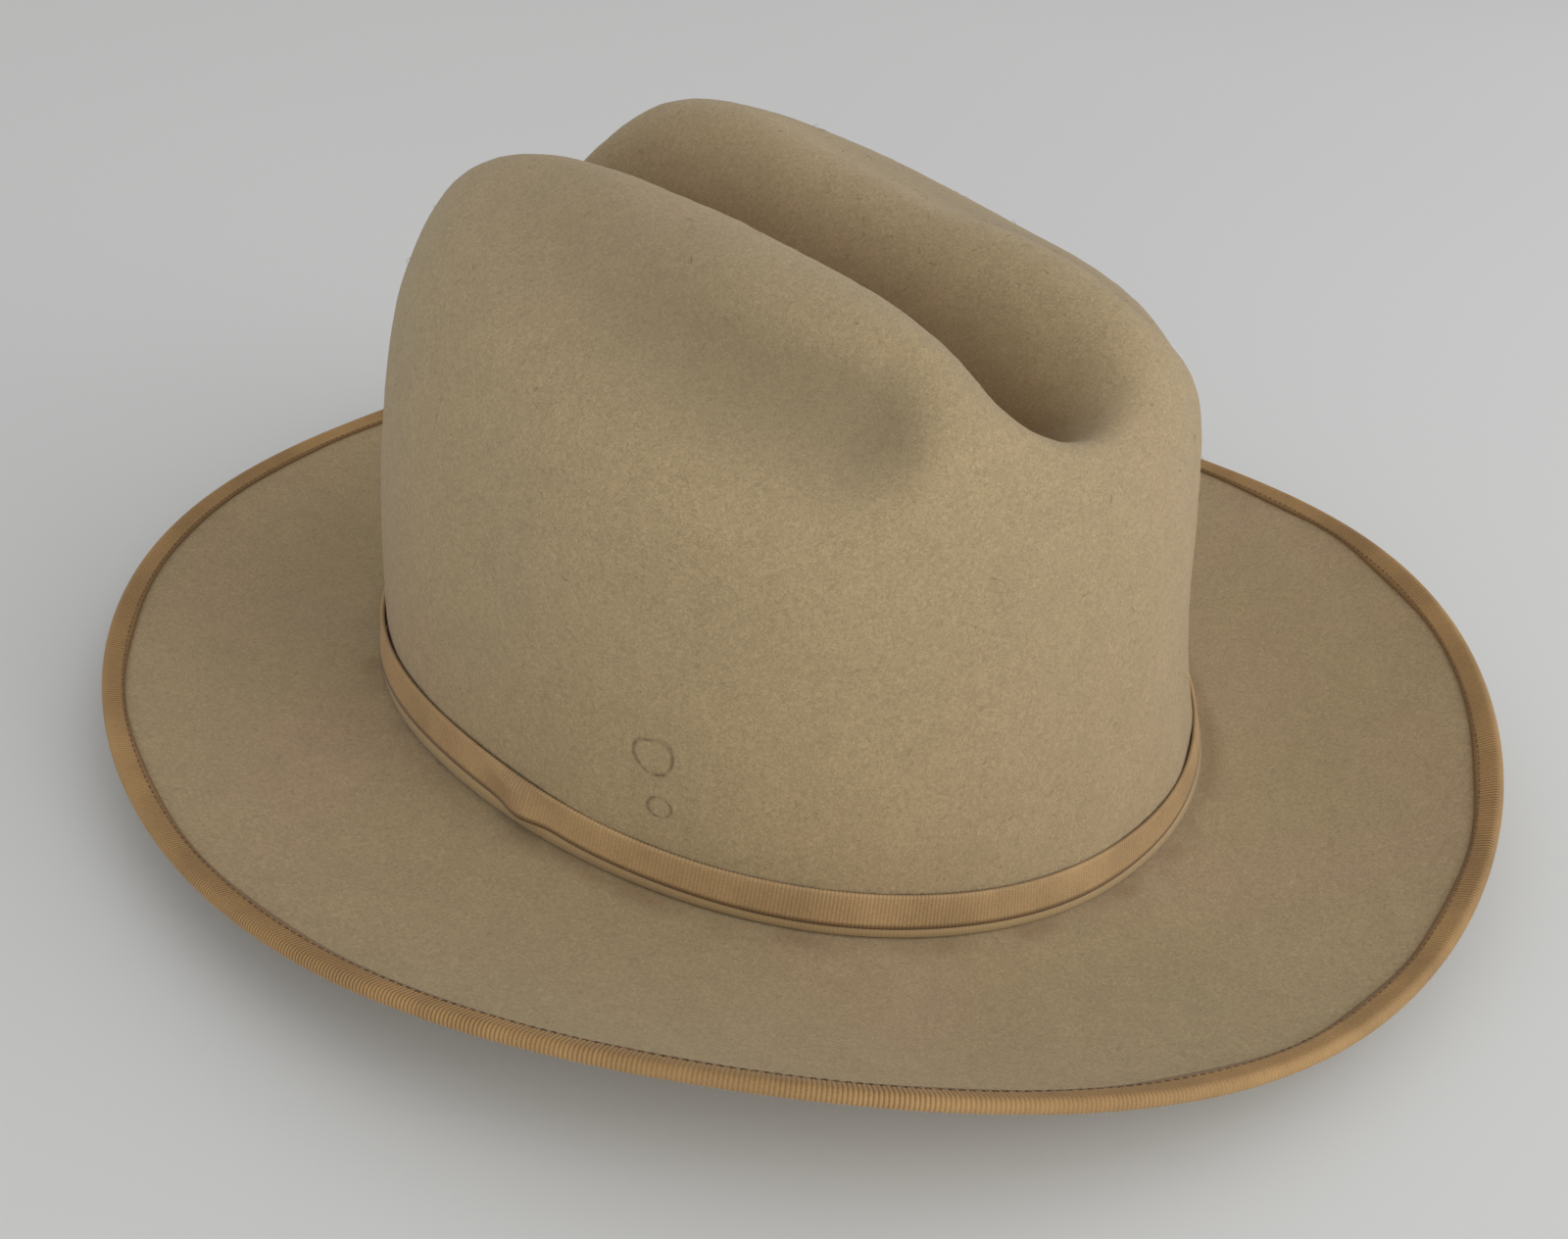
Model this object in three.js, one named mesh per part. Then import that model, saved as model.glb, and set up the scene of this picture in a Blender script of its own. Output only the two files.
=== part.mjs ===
// Cowboy hat: a fur-felt body with a creased crown, a ribbon band with its bow, a ribbon-bound brim,
// and inside it a leather sweatband on its reed and a sewn satin lining.
//
// Millimetres, +Z up. The hat faces -Y and the wearer's left is +X. Angles around the hat (theta) start
// at the front and grow towards the wearer's right, so the bow is at -90 degrees.

import * as THREE from 'three';

const { degToRad, smoothstep } = THREE.MathUtils;

// ---------------------------------------------------------------- driving dimensions

const AROUND = 72; // steps round the hat
const CROWN_ROWS = 20; // rows from the brim break to the top of the crown
const GAP = 0.3; // clearance between pieces that touch

const feltThickness = 1.6;

// Crown: an oval that tapers upwards and rounds over into the top.
const crown = {
  halfWidth: 91,
  halfLength: 100,
  squareness: 2.1, // 2 is an ellipse
  height: 119.5,
  rise: 9.2, // the top's slope: higher at the back
  dish: 0.8, // the top's bow: higher at both ends
  sweep: 2.8, // extra rise towards the back end
  tilt: -4.3, // the top's slope across: lower on the wearer's left
  twist: 10.1, // how much that slope across changes from the middle to the back
  corner: 4.5, // how tightly the wall turns into the top
  taperSide: 0.081,
  taperFront: 0.185,
  taperBack: -0.13,
  bulgeSide: 1.3,
  bulgeFront: -4.9,
  bulgeBack: 4,
  bulgeFrontLeft: -5.3, // a shallow hollow in the wall between the front and the wearer's left
  lean: -11.2, // how far the top stands behind the oval; the negative sign is towards the front
  breakRise: 2.8, // the brim break is this much higher at the sides, lower at front and back
};

// A soft slump in the ridge on the wearer's left.
const slump = { depth: 6.8, y: 12, reach: 49, full: 40 };

// Centre crease: a valley along the top, ending short of the front and back.
const crease = {
  depth: 38,
  halfWidth: 17.5,
  offset: -8,
  front: -70,
  frontBlend: 17,
  back: 100,
  backBlend: 24,
  topFrom: 0.5, // it fades out down the wall, between these two shares of the crown's height
  topTo: 0.95,
};

// Side dents: one under each ridge. Each starts short near the front and climbs and fades to the back.
const dent = {
  depth: 16,
  front: -60,
  frontBlend: 10,
  toBack: 90,
  z: 94,
  slope: 0.19,
  above: 13,
  below: 9,
  inner: 15, // none of it within this distance of the middle, all of it past the outer one
  outer: 50,
};

// Brim: its width and the height of its edge over the break, each a mean value and a few waves.
const brim = {
  width: 62.5,
  widthWaves: [2.9, -1.5, 0, -0.6],
  widthSideWave: -0.9, // a little narrower on the wearer's right
  edgeHeight: 14.5,
  edgeWaves: [1.9, -1.2, -2.7, -3.4],
  edgeSideWaves: [-2.4, 1.7, -0.7],
  curl: 2, // 1 is a straight cone, more keeps the brim flat until it curls up
  shortening: 0.55, // a lifted brim reaches less far out, by this much of its lift squared over its width
};

const binding = { width: 3.7, thickness: 0.4, stitchInset: 2.9, thread: 0.4 };
const ribbon = { low: 0.6, leafTop: 2.4, top: 11.2, thickness: 1, leafThickness: 0.45 };

const bow = {
  theta: degToRad(-90),
  low: 1.6,
  top: 10.6,
  thickness: 0.5,
  tailReach: 26,
  loopReach: 21,
  loopBulge: 1.3,
  keeperWidth: 7,
};

// The sweatband leans inwards over a step between its reed tape and the foot of the lining.
const sweatband = { low: 1, top: 50, thickness: 1, depthAtReed: 3.4, step: 1.9, lean: 0.006 };
const reed = { depth: 3.95, height: -0.6, radius: 0.8 };
const reedFold = { inner: 1.05, outer: 1.3, top: 4, thread: 0.5 };
const lining = { low: 14, top: 62, depth: 3.7, thickness: 0.4, domeRise: 10 };

// ---------------------------------------------------------------- the hat's surfaces

const bell = (distance, width) => Math.exp(-((distance / width) ** 2));

// A sum of waves round the hat: waves[0] goes once round, waves[1] twice, and so on.
const waves = (list, angle, wave) => list.reduce((sum, size, i) => sum + size * wave((i + 1) * angle), 0);

// Blends a value for the side, the front and the back into one that depends on theta.
function aroundBlend(theta, side, front, back) {
  const along = Math.cos(theta);
  const across = Math.sin(theta);
  return side * across ** 2 + (along > 0 ? front : back) * along ** 2;
}

function baseOval(theta) {
  const across = Math.sin(theta);
  const along = Math.cos(theta);
  const n = crown.squareness;
  const scale = (Math.abs(across) ** n + Math.abs(along) ** n) ** (-1 / n);
  return new THREE.Vector2(-crown.halfWidth * across * scale, -crown.halfLength * along * scale);
}

const breakHeight = (theta) => -crown.breakRise * Math.cos(2 * theta);

function topHeight(x, y) {
  const end = y / 100;
  const slope = ((crown.tilt + crown.twist * end) * x) / 100 + crown.rise * end;
  return crown.height + slope + crown.dish * end ** 2 + crown.sweep * end ** 3;
}

// The crown before creasing. inward is 1 at the oval and 0 at its centre, upward 0 at the break and 1 on top.
function openCrown(theta, inward, upward) {
  const oval = baseOval(theta);
  const taper = aroundBlend(theta, crown.taperSide, crown.taperFront, crown.taperBack);
  const frontLeft = Math.max(-Math.sin(theta), 0) * Math.max(Math.cos(theta), 0);
  const hollow = crown.bulgeFrontLeft * (2 * frontLeft) ** 2;
  const bulge = hollow + aroundBlend(theta, crown.bulgeSide, crown.bulgeFront, crown.bulgeBack);
  const swell = (bulge / oval.length()) * 4 * upward * (1 - upward);
  const scale = inward * (1 - taper * upward + swell);
  const x = oval.x * scale;
  const y = oval.y * scale + crown.lean * upward;
  const z = breakHeight(theta) * (1 - upward) + topHeight(x, y) * upward;
  return new THREE.Vector3(x, y, z);
}

// The crease and the slump, which both lower the top.
function pressTop(point, upward) {
  const starts = smoothstep(point.y, crease.front - crease.frontBlend, crease.front + crease.frontBlend);
  const ends = 1 - smoothstep(point.y, crease.back - crease.backBlend, crease.back + crease.backBlend);
  const onTop = smoothstep(upward, crease.topFrom, crease.topTo);
  const groove = crease.depth * starts * ends * bell(point.x - crease.offset, crease.halfWidth);
  const sag = slump.depth * smoothstep(point.x, 0, slump.full) * bell(point.y - slump.y, slump.reach);
  point.z -= (groove + sag) * onTop;
}

function pressDents(point) {
  const starts = smoothstep(point.y, dent.front - dent.frontBlend, dent.front + dent.frontBlend);
  const fades = bell(Math.max(point.y - dent.front - dent.frontBlend, 0), dent.toBack);
  const dz = point.z - dent.z - dent.slope * (point.y - dent.front);
  const upright = bell(dz, dz > 0 ? dent.above : dent.below);
  const offCentre = smoothstep(Math.abs(point.x), dent.inner, dent.outer);
  point.x -= Math.sign(point.x) * dent.depth * starts * fades * upright * offCentre;
}

function creasedCrown(theta, inward, upward) {
  const point = openCrown(theta, inward, upward);
  pressTop(point, upward);
  pressDents(point);
  return point;
}

// The crown by a climb from 0 at the break to 1 at the middle of the top, on a rounded-corner path.
function crownPoint(theta, climb) {
  const angle = (climb * Math.PI) / 2;
  const inward = Math.cos(angle);
  const upward = Math.sin(angle);
  const reach = (Math.abs(inward) ** crown.corner + Math.abs(upward) ** crown.corner) ** (-1 / crown.corner);
  return creasedCrown(theta, inward * reach, upward * reach);
}

// The brim's top face. across is 0 at the break and 1 at the edge.
function brimPoint(theta, across) {
  const base = baseOval(theta);
  const outward = ovalOutward(theta);
  const low = breakHeight(theta);
  const edge =
    brim.edgeHeight +
    waves(brim.edgeWaves, theta, Math.cos) +
    waves(brim.edgeSideWaves, theta, Math.sin);
  const widthWave = waves(brim.widthWaves, theta, Math.cos) + brim.widthSideWave * Math.sin(theta);
  const flatWidth = brim.width + widthWave;
  const lift = edge - low;
  const width = flatWidth - (brim.shortening * lift ** 2) / flatWidth;
  const spot = base.addScaledVector(outward, width * across);
  return new THREE.Vector3(spot.x, spot.y, low + lift * Math.abs(across) ** brim.curl);
}

function ovalOutward(theta) {
  const step = 1e-4;
  const along = baseOval(theta + step).sub(baseOval(theta - step)).normalize();
  return new THREE.Vector2(-along.y, along.x);
}

// A point off a surface along its normal: positive heights are on the outer or upper side.
function offSurface(surface, theta, row, height) {
  const step = 1e-3;
  const around = surface(theta + step, row).sub(surface(theta - step, row));
  const along = surface(theta, row + step).sub(surface(theta, row - step));
  const normal = along.cross(around).normalize();
  return surface(theta, row).addScaledVector(normal, height);
}

// A point off the brim: positive heights are above its top face. Its rows run outwards where the crown's run
// inwards, so the normal is turned over.
const offBrim = (theta, across, height) => offSurface(brimPoint, theta, across, -height);

// A point near the lower crown wall, by its height over the break and its distance out from the felt's face.
// Below the break the wall's line carries on straight down.
function wallPoint(theta, height, outwards) {
  const upward = Math.max(height, 0) / (crown.height - breakHeight(theta));
  const climb = (Math.atan(upward) * 2) / Math.PI;
  const point = crownPoint(theta, climb);
  const outward = ovalOutward(theta);
  point.z += Math.min(height, 0);
  return point.add(new THREE.Vector3(outward.x, outward.y, 0).multiplyScalar(outwards));
}

// ---------------------------------------------------------------- closed solids from rows of points

const aroundAngles = Array.from({ length: AROUND }, (_, i) => (i * 2 * Math.PI) / AROUND);

function signedVolume(points, faces) {
  return faces.reduce((sum, [a, b, c]) => sum + points[a].dot(points[b].clone().cross(points[c])) / 6, 0);
}

function closedGeometry(points, faces) {
  const outward = signedVolume(points, faces) > 0;
  const indices = faces.flatMap(([a, b, c]) => (outward ? [a, b, c] : [a, c, b]));
  const geometry = new THREE.BufferGeometry().setFromPoints(points);
  geometry.setIndex(indices);
  geometry.computeVertexNormals();
  return geometry;
}

// Two triangles for each step between neighbouring loops of equal length.
function joinLoops(first, second, count, wraps) {
  const faces = [];
  const steps = wraps ? count : count - 1;
  for (let i = 0; i < steps; i++) {
    const next = (i + 1) % count;
    faces.push([first + i, first + next, second + next]);
    faces.push([first + i, second + next, second + i]);
  }
  return faces;
}

// A shell: loops of points round the hat, closed by one point before the first and one after the last.
function shell(firstPole, loops, lastPole) {
  const points = [firstPole, ...loops.flat(), lastPole];
  const faces = [];
  const start = (loop) => 1 + loop * AROUND;
  for (let loop = 0; loop + 1 < loops.length; loop++) {
    faces.push(...joinLoops(start(loop), start(loop + 1), AROUND, true));
  }
  const lastStart = start(loops.length - 1);
  for (let i = 0; i < AROUND; i++) {
    const next = (i + 1) % AROUND;
    faces.push([0, 1 + next, 1 + i]);
    faces.push([points.length - 1, lastStart + i, lastStart + next]);
  }
  return closedGeometry(points, faces);
}

// A sweep: the same closed section at each stop. A ring's last stop joins its first, a strip has end caps.
function sweep(sections, isRing) {
  const count = sections[0].length;
  const points = sections.flat();
  const faces = [];
  const last = sections.length - 1;
  for (let stop = 0; stop < last; stop++) {
    faces.push(...joinLoops(stop * count, (stop + 1) * count, count, true));
  }
  if (isRing) {
    faces.push(...joinLoops(last * count, 0, count, true));
  } else {
    for (let i = 1; i + 1 < count; i++) {
      faces.push([0, i + 1, i]);
      faces.push([last * count, last * count + i, last * count + i + 1]);
    }
  }
  return closedGeometry(points, faces);
}

// A ring round the hat whose section comes from a function of theta.
const ring = (section) => sweep(aroundAngles.map(section), true);

// A ring on the crown wall, from section corners given as [distance out, height].
const wallRing = (corners) => ring((theta) => corners.map(([out, height]) => wallPoint(theta, height, out)));

// A flat strip on the crown wall: reach is measured along the wall to each side of theta.
function wallStrip(theta, reach, corners) {
  const turn = reach / crown.halfLength;
  const steps = 8;
  const stops = Array.from({ length: steps + 1 }, (_, i) => theta + turn * ((2 * i) / steps - 1));
  return sweep(stops.map((stop) => corners.map(([out, height]) => wallPoint(stop, height, out))), false);
}

const rectangle = (out, low, thickness, top) => [
  [out, low],
  [out + thickness, low],
  [out + thickness, top],
  [out, top],
];

// ---------------------------------------------------------------- the pieces

const feltTan = { color: 0x9a8969, roughness: 0.95, metalness: 0 };
const ribbonTan = { color: 0x9d8363, roughness: 0.7, metalness: 0 };
const bindingBrown = { color: 0x8a6c47, roughness: 0.7, metalness: 0 };
const threadBrown = { color: 0x6f5436, roughness: 0.8, metalness: 0 };
const leatherBrown = { color: 0x7b5332, roughness: 0.45, metalness: 0 };
const clothTape = { color: 0x8f8264, roughness: 0.9, metalness: 0 };
const satinIvory = { color: 0xcfc3a2, roughness: 0.35, metalness: 0 };
const paperWhite = { color: 0xd9d2c0, roughness: 0.9, metalness: 0 };
const clearPlastic = { color: 0xe8ecec, roughness: 0.15, metalness: 0 };
const reedPlastic = { color: 0xb9b29c, roughness: 0.5, metalness: 0 };

const hat = new THREE.Group();

function addPiece(name, geometry, look) {
  const mesh = new THREE.Mesh(geometry, new THREE.MeshStandardMaterial(look));
  mesh.name = name;
  hat.add(mesh);
  return mesh;
}

// Crown and brim are one piece of felt, so they are one solid.
function feltBody() {
  const brimRows = [0.25, 0.5, 0.75, 0.91, 1];
  const crownClimbs = Array.from({ length: CROWN_ROWS }, (_, i) => i / CROWN_ROWS);
  const crownLoop = (depth) => (climb) =>
    aroundAngles.map((theta) => offSurface(crownPoint, theta, climb, -depth));
  const brimLoop = (depth) => (across) =>
    aroundAngles.map((theta) => offBrim(theta, across, -depth));
  const outerTop = crownPoint(0, 1);
  const innerTop = outerTop.clone().setZ(outerTop.z - feltThickness);
  const innerBreak = aroundAngles.map((theta) => {
    const wall = wallPoint(theta, 0, -feltThickness);
    return wall.setZ(wall.z - feltThickness);
  });
  return shell(
    outerTop,
    [
      ...crownClimbs.toReversed().map(crownLoop(0)),
      ...brimRows.map(brimLoop(0)),
      ...brimRows.toReversed().map(brimLoop(feltThickness)),
      innerBreak,
      ...crownClimbs.slice(1).map(crownLoop(feltThickness)),
    ],
    innerTop,
  );
}

// A point by the brim's edge: out past it, and up from the brim's top face.
const edgePoint = (theta, out, up) => offBrim(theta, 1 + out / brim.width, up);

const edgeRing = (corners) => ring((theta) => corners.map(([out, up]) => edgePoint(theta, out, up)));

// Grosgrain ribbon folded over the brim's edge: a channel with its mouth towards the crown.
function brimBinding() {
  const { width, thickness } = binding;
  const under = -feltThickness;
  return edgeRing([
    [-width, GAP],
    [GAP, GAP],
    [GAP, under - GAP],
    [-width, under - GAP],
    [-width, under - GAP - thickness],
    [GAP + thickness / 2, under - GAP - thickness],
    [GAP + thickness, under / 2],
    [GAP + thickness / 2, GAP + thickness],
    [-width, GAP + thickness],
  ]);
}

function bindingStitching() {
  const { stitchInset, thickness, thread } = binding;
  const low = 2 * GAP + thickness;
  return edgeRing([
    [-stitchInset, low],
    [-stitchInset + thread, low],
    [-stitchInset + thread, low + thread],
    [-stitchInset, low + thread],
  ]);
}

// The band: ribbon folded lengthways, so that its inner leaf shows as a narrow step along the bottom.
function crownRibbon() {
  const { low, leafTop, top, thickness, leafThickness } = ribbon;
  return wallRing([
    [GAP, low],
    [GAP + leafThickness, low],
    [GAP + leafThickness, leafTop],
    [GAP + thickness, leafTop],
    [GAP + thickness, top],
    [GAP, top],
  ]);
}

// Distances out from the felt at which the bow's layers lie.
const keeperBack = 2 * GAP + ribbon.thickness;
const tailBack = keeperBack + bow.thickness + GAP;
const loopBack = tailBack + bow.thickness + GAP;
const loopMiddle = loopBack + bow.loopBulge + bow.thickness / 2;
const keeperFront = loopMiddle + bow.loopBulge + bow.thickness / 2 + GAP;

const tailSection = () => rectangle(tailBack, bow.low, bow.thickness, bow.top);
const bowTails = () => wallStrip(bow.theta, bow.tailReach, tailSection());

// One flattened loop of ribbon, standing on edge to one side (-1 or 1) of the bow's middle.
function bowLoop(side) {
  const steps = 20;
  const halfLength = (bow.loopReach - GAP) / 2;
  const middle = side * (GAP + halfLength);
  const stops = Array.from({ length: steps }, (_, i) => (i * 2 * Math.PI) / steps);
  const sections = stops.map((stop) => {
    const corner = (grow, height) => {
      const reach = middle + (halfLength - bow.thickness / 2 + grow) * Math.cos(stop);
      const out = loopMiddle + (bow.loopBulge + grow) * Math.sin(stop);
      return wallPoint(bow.theta + reach / crown.halfLength, height, out);
    };
    const half = bow.thickness / 2;
    return [corner(-half, bow.low), corner(half, bow.low), corner(half, bow.top), corner(-half, bow.top)];
  });
  return sweep(sections, true);
}

// The short ribbon wrapped upright round the middle of the bow.
function bowKeeper() {
  const low = bow.low - GAP;
  const top = bow.top + GAP;
  const wall = bow.thickness;
  const outline = [
    [keeperBack, low],
    [keeperFront, low],
    [keeperFront, top],
    [keeperBack, top],
  ];
  const middleOut = (keeperBack + keeperFront) / 2;
  const middleHeight = (low + top) / 2;
  const halfTurn = bow.keeperWidth / 2 / crown.halfLength;
  const sections = outline.map(([out, height]) => {
    const outer = [out + Math.sign(out - middleOut) * wall, height + Math.sign(height - middleHeight) * wall];
    const inner = [out + (out < middleOut ? wall : 0), height];
    const back = out < middleOut ? [out, outer[1]] : outer;
    return [
      wallPoint(bow.theta - halfTurn, inner[1], inner[0]),
      wallPoint(bow.theta + halfTurn, inner[1], inner[0]),
      wallPoint(bow.theta + halfTurn, back[1], back[0]),
      wallPoint(bow.theta - halfTurn, back[1], back[0]),
    ];
  });
  return sweep(sections, true);
}

// How far inside the crown's outer face the sweatband's outer face lies at a height.
function sweatbandDepth(height) {
  const stepped = sweatband.step * smoothstep(height, reedFold.top, lining.low - 2);
  return sweatband.depthAtReed + stepped + sweatband.lean * height;
}

function sweatbandLeather() {
  const heights = [sweatband.low, reedFold.top, lining.low - 2, sweatband.top];
  const outside = heights.map((height) => [-sweatbandDepth(height), height]);
  const inside = outside.toReversed().map(([out, height]) => [out - sweatband.thickness, height]);
  return wallRing([...outside, ...inside]);
}

// Thin flexible reed that keeps the sweatband's lower edge in shape.
function sweatbandReed() {
  const sides = 6;
  const corners = Array.from({ length: sides }, (_, i) => {
    const angle = (i * 2 * Math.PI) / sides;
    return [-reed.depth + reed.radius * Math.cos(angle), reed.height + reed.radius * Math.sin(angle)];
  });
  return wallRing(corners);
}

// Cloth tape folded up round the reed, with the sweatband's lower edge between its two sides.
function reedTape() {
  const { depth, height } = reed;
  const { inner, outer, top } = reedFold;
  return wallRing([
    [-depth + outer, top],
    [-depth + inner, top],
    [-depth + inner, height - inner],
    [-depth - inner, height - inner],
    [-depth - inner, top],
    [-depth - outer, top],
    [-depth - outer, height - outer],
    [-depth + outer, height - outer],
  ]);
}

function sweatbandStitching() {
  const { thread } = reedFold;
  const out = -reed.depth - reedFold.outer - GAP - thread;
  return wallRing(rectangle(out, reedFold.top - 2 * thread, thread, reedFold.top - thread));
}

const back = Math.PI;

// The strip that joins the sweatband's two ends, on its inner face at the back.
function sweatbandSeamTape() {
  const thickness = 0.5;
  const low = reedFold.top + 2;
  const lowOut = -sweatbandDepth(lining.low) - sweatband.thickness - GAP;
  const topOut = -sweatbandDepth(sweatband.top) - sweatband.thickness - GAP;
  return wallStrip(back, 6, [
    [lowOut - thickness, low],
    [lowOut, low],
    [topOut, sweatband.top - 1],
    [topOut - thickness, sweatband.top - 1],
  ]);
}

// The little bow that marks the back of the sweatband, flat against its seam.
function sweatbandBow() {
  const wing = 10;
  const knot = 2;
  const tip = 4;
  const shape = new THREE.Shape();
  shape.moveTo(-wing, -tip);
  shape.lineTo(-knot, -knot);
  shape.lineTo(knot, -knot);
  shape.lineTo(wing, -tip);
  shape.quadraticCurveTo(wing + 1, 0, wing, tip);
  shape.lineTo(knot, knot);
  shape.lineTo(-knot, knot);
  shape.lineTo(-wing, tip);
  shape.quadraticCurveTo(-wing - 1, 0, -wing, -tip);
  return new THREE.ExtrudeGeometry(shape, { depth: 0.8, bevelEnabled: false, curveSegments: 4 });
}

// A blank paper label standing between the sweatband and the lining.
function sizeTag() {
  const out = -lining.depth - lining.thickness - 3 * GAP;
  return wallStrip(degToRad(150), 9, rectangle(out, 30, 0.25, 56));
}

function liningWall() {
  const out = -lining.depth - lining.thickness;
  const heights = [lining.low, (lining.low + lining.top) / 2, lining.top - 10, lining.top];
  const inside = heights.map((height) => [out, height]);
  const outside = heights.toReversed().map((height) => [out + lining.thickness, height]);
  return wallRing([...inside, ...outside]);
}

// The lining's oval top panel, a shallow dome that hangs clear below the crease.
function liningTip() {
  const rows = [1, 0.72, 0.45, 0.2];
  const peak = lining.top + lining.domeRise;
  const domeLoop = (lower) => (reach) =>
    aroundAngles.map((theta) => {
      const rim = wallPoint(theta, lining.top + 3 * GAP, -lining.depth);
      const z = peak + (rim.z - peak) * reach * reach - lower;
      return new THREE.Vector3(rim.x * reach, rim.y * reach, z);
    });
  return shell(
    new THREE.Vector3(0, 0, peak),
    [...rows.toReversed().map(domeLoop(0)), ...rows.map(domeLoop(lining.thickness))],
    new THREE.Vector3(0, 0, peak - lining.thickness),
  );
}

// The cord that covers the seam between the lining's wall and its top panel.
function liningGimp() {
  const thickness = 0.8;
  const out = -lining.depth - lining.thickness - 2 * GAP - thickness;
  return wallRing(rectangle(out, lining.top - 2, thickness, lining.top - 2 + thickness));
}

// A clear oval sheet sewn under the top panel to keep hair oil off the satin.
function tipShield() {
  const shape = new THREE.Shape().absellipse(0, 0, 34, 46, 0, 2 * Math.PI);
  return new THREE.ExtrudeGeometry(shape, { depth: 0.25, bevelEnabled: false, curveSegments: 32 });
}

addPiece('felt_body', feltBody(), feltTan);
addPiece('brim_binding', brimBinding(), bindingBrown);
addPiece('binding_stitching', bindingStitching(), threadBrown);
addPiece('crown_ribbon', crownRibbon(), ribbonTan);
addPiece('bow_tails', bowTails(), ribbonTan);
addPiece('bow_loop_front', bowLoop(1), ribbonTan);
addPiece('bow_loop_back', bowLoop(-1), ribbonTan);
addPiece('bow_keeper', bowKeeper(), ribbonTan);
addPiece('sweatband', sweatbandLeather(), leatherBrown);
addPiece('sweatband_reed', sweatbandReed(), reedPlastic);
addPiece('reed_tape', reedTape(), clothTape);
addPiece('sweatband_stitching', sweatbandStitching(), threadBrown);
addPiece('sweatband_seam_tape', sweatbandSeamTape(), leatherBrown);
addPiece('size_tag', sizeTag(), paperWhite);
addPiece('lining_wall', liningWall(), satinIvory);
addPiece('lining_tip', liningTip(), satinIvory);
addPiece('lining_gimp', liningGimp(), satinIvory);

const bowBackDistance = 1.6;
const bowSpot = wallPoint(back, 9, -sweatbandDepth(lining.low) - sweatband.thickness - bowBackDistance);
const smallBow = addPiece('sweatband_bow', sweatbandBow(), ribbonTan);
smallBow.rotation.x = Math.PI / 2;
smallBow.position.copy(bowSpot);

const shieldDrop = 9; // the sheet hangs this far below the middle of the top panel, at its own rim
const shield = addPiece('lining_tip_shield', tipShield(), clearPlastic);
shield.position.z = lining.top + lining.domeRise - shieldDrop;

// The origin is the middle of the hat's footprint on the surface it stands on.
const bounds = new THREE.Box3().setFromObject(hat, true);
const footprint = bounds.getCenter(new THREE.Vector3()).setZ(bounds.min.z);
for (const piece of hat.children) piece.position.sub(footprint);

export default hat;
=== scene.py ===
"""The cowboy hat's looks: fur felt, grosgrain ribbons, leather sweatband and satin lining.

The shapes follow the same formulas as the CAD model, in millimetres, in a frame whose origin is the
middle of the crown's oval at the mean height of the brim break. `to_row` takes them to metres in the
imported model's frame. theta runs round the hat from the front (-Y) towards the wearer's right (-X).
Of the large shapes only the side dents differ: they start 3 mm further forward and sit 2 mm higher.
"""
import math
from types import SimpleNamespace as Sizes

import bmesh
import bpy
import numpy as np
from mathutils import Matrix, Vector


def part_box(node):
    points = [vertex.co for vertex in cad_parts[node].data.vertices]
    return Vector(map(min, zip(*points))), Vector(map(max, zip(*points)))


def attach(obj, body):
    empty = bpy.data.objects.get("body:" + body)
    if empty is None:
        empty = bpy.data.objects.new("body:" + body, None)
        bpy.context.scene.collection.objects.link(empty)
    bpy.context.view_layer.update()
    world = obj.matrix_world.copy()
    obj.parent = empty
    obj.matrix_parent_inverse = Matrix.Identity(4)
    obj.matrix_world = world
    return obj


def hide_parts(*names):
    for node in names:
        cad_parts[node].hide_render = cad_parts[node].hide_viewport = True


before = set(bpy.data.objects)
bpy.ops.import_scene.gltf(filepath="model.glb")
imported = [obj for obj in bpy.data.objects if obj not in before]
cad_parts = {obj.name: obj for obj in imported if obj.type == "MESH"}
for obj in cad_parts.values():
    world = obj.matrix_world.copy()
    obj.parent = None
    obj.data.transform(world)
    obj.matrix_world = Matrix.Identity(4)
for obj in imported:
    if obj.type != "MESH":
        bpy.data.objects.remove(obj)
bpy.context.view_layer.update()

MM = 0.001
GAP = 0.3
TURN = 2 * math.pi

# ---- driving dimensions, in mm

felt_thickness = 1.6
crown = Sizes(
    half_width=91, half_length=100, squareness=2.1, height=119.5, rise=9.2, dish=0.8, sweep=2.8,
    tilt=-4.3, twist=10.1, corner=4.5, taper_side=0.081, taper_front=0.185, taper_back=-0.13,
    bulge_side=1.3, bulge_front=-4.9, bulge_back=4, bulge_front_left=-5.3, lean=-11.2, break_rise=2.8,
)
slump = Sizes(depth=6.8, y=12, reach=49, full=40)
crease = Sizes(
    depth=38, half_width=17.5, offset=-8, front=-70, front_blend=17, back=100, back_blend=24,
    top_from=0.5, top_to=0.95,
)
dent = Sizes(
    depth=16, front=-63, front_blend=10, to_back=90, z=96, slope=0.19, above=13, below=9,
    inner=15, outer=50,
)
brim = Sizes(
    width=62.5, width_waves=(2.9, -1.5, 0, -0.6), width_side_wave=-0.9, edge_height=14.5,
    edge_waves=(1.9, -1.2, -2.7, -3.4), edge_side_waves=(-2.4, 1.7, -0.7), curl=2, shortening=0.55,
)
binding = Sizes(width=3.7, thickness=0.4, stitch_inset=2.9)
ribbon = Sizes(low=0.6, leaf_top=2.4, top=11.2, thickness=1.0)
bow = Sizes(
    theta=-TURN / 4, low=1.6, top=10.6, thickness=0.5, tail_reach=26, loop_reach=21, loop_bulge=1.3,
    keeper_width=7,
)
sweatband = Sizes(low=1, top=50, thickness=1, depth_at_reed=3.4, step=1.9, lean=0.006)
reed = Sizes(depth=3.95, height=-0.6, radius=0.8)
reed_fold = Sizes(inner=1.05, outer=1.3, top=4, thread=0.5)
lining = Sizes(low=14, top=62, depth=3.7, thickness=0.4, dome_rise=10)
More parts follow.
